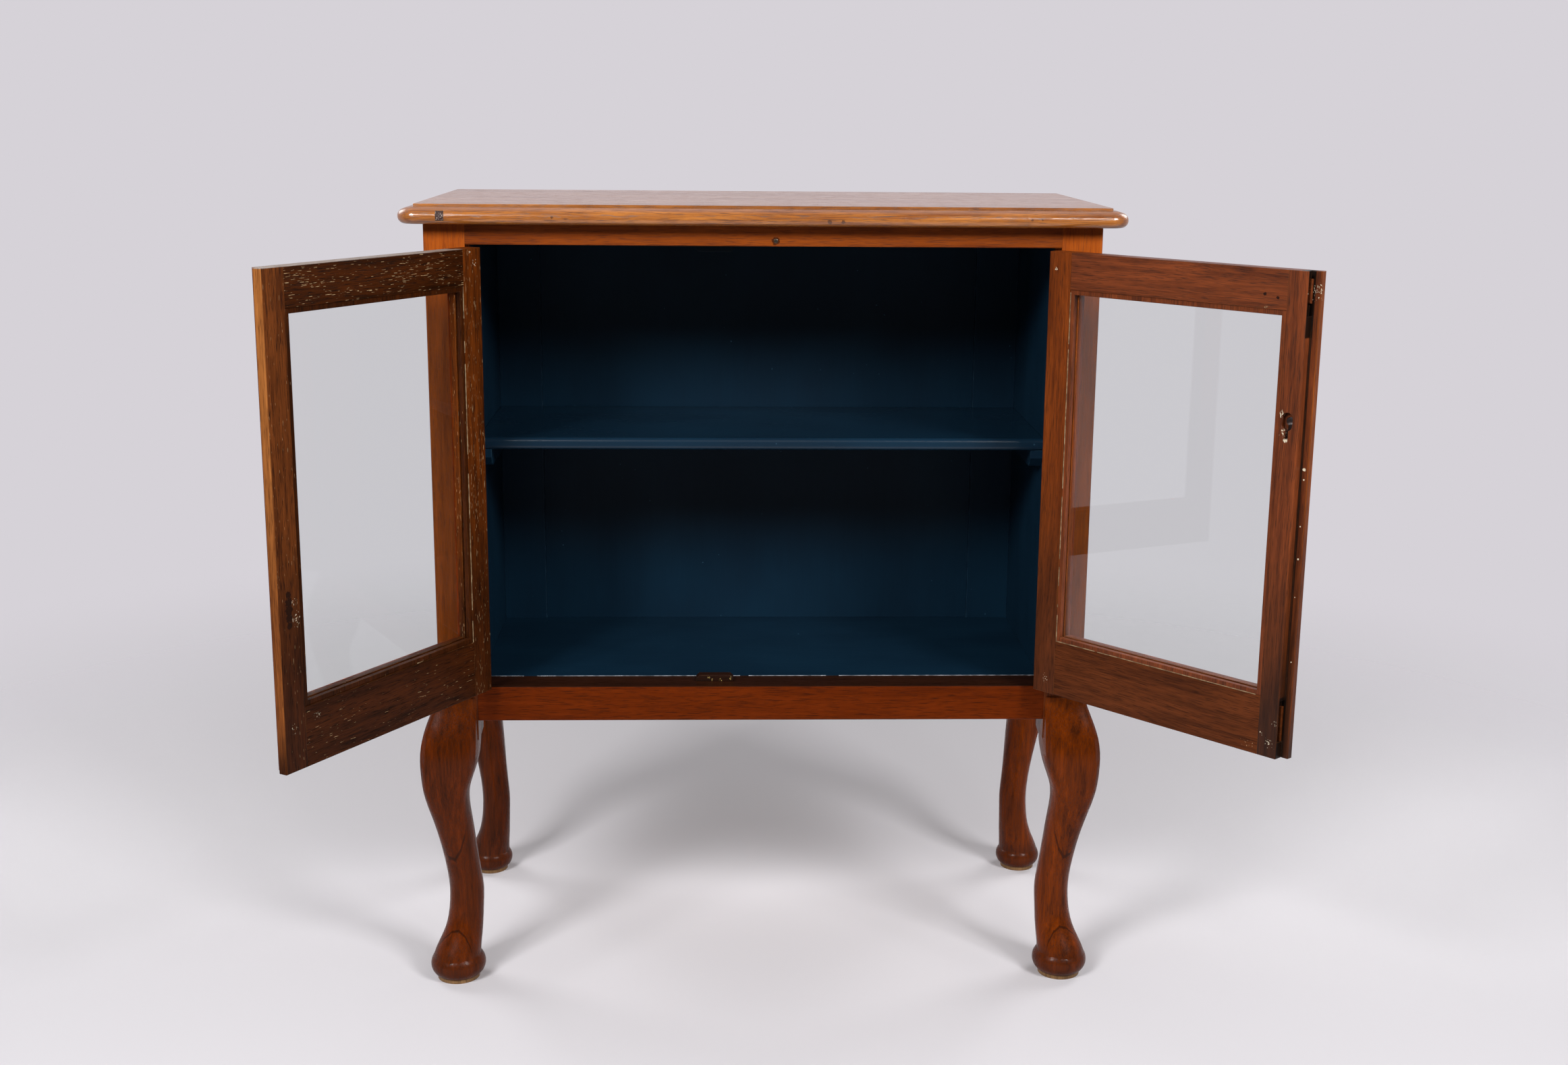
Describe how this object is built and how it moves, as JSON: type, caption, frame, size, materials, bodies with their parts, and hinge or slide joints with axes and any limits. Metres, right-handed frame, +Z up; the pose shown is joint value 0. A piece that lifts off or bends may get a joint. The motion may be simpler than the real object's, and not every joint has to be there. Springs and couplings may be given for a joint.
{
  "type": "display cabinet",
  "caption": "Glazed two-door display cabinet on cabriole legs with a moulded top, an inner shelf and doors that swing on butt hinges.",
  "frame": {"origin": "on the floor, under the middle of the top board", "axes": "+Z up, +X to the right as seen from the front, the doors face -Y"},
  "size_m": [1.1649, 0.7553, 1.03],
  "materials": {
    "stained_wood": "polished red-brown stain",
    "painted_interior": "satin dark blue paint",
    "window_glass": "clear",
    "hinge_brass": "aged"
  },
  "bodies": {
    "case": {"back_bottom_rail": "stained_wood", "back_panel": "painted_interior", "back_stile_left": "painted_interior", "back_stile_right": "painted_interior", "back_top_rail": "stained_wood", "bottom_board": "painted_interior", "door_stop_bottom": "stained_wood", "door_stop_top": "painted_interior", "floor_bearer_left": "stained_wood", "floor_bearer_right": "stained_wood", "front_bottom_rail": "stained_wood", "front_top_rail": "stained_wood", "left_hinge_post_leaf_lower": "hinge_brass", "left_hinge_post_leaf_upper": "hinge_brass", "leg_front_left": "stained_wood", "leg_front_right": "stained_wood", "leg_rear_left": "stained_wood", "leg_rear_right": "stained_wood", "right_hinge_post_leaf_lower": "hinge_brass", "right_hinge_post_leaf_upper": "hinge_brass", "shelf": "painted_interior", "shelf_bearer_left": "painted_interior", "shelf_bearer_right": "painted_interior", "side_bottom_rail_left": "stained_wood", "side_bottom_rail_right": "stained_wood", "side_panel_left": "painted_interior", "side_panel_right": "painted_interior", "side_top_rail_left": "stained_wood", "side_top_rail_right": "stained_wood", "top_board": "stained_wood", "top_corner_blocks": "stained_wood", "top_edge_plug": "stained_wood"},
    "left_door": {"left_door_bottom_rail": "stained_wood", "left_door_top_rail": "stained_wood", "left_glass": "window_glass", "left_glazing_beads": "stained_wood", "left_hinge_door_leaf_lower": "hinge_brass", "left_hinge_door_leaf_upper": "hinge_brass", "left_hinge_stile": "stained_wood", "left_meeting_stile": "stained_wood"},
    "right_door": {"right_door_bottom_rail": "stained_wood", "right_door_top_rail": "stained_wood", "right_glass": "window_glass", "right_glazing_beads": "stained_wood", "right_hinge_door_leaf_lower": "hinge_brass", "right_hinge_door_leaf_upper": "hinge_brass", "right_hinge_stile": "stained_wood", "right_meeting_stile": "stained_wood"}
  },
  "joints": [
    {"name": "left_door_hinge", "type": "hinge", "parent": "case", "child": "left_door", "pos_m": [-0.3692, -0.186, 0.6], "axis": [0, 0, -1], "range_deg": [-121, 54]},
    {"name": "right_door_hinge", "type": "hinge", "parent": "case", "child": "right_door", "pos_m": [0.3692, -0.186, 0.6], "axis": [0, 0, 1], "range_deg": [-131, 44]}
  ]
}
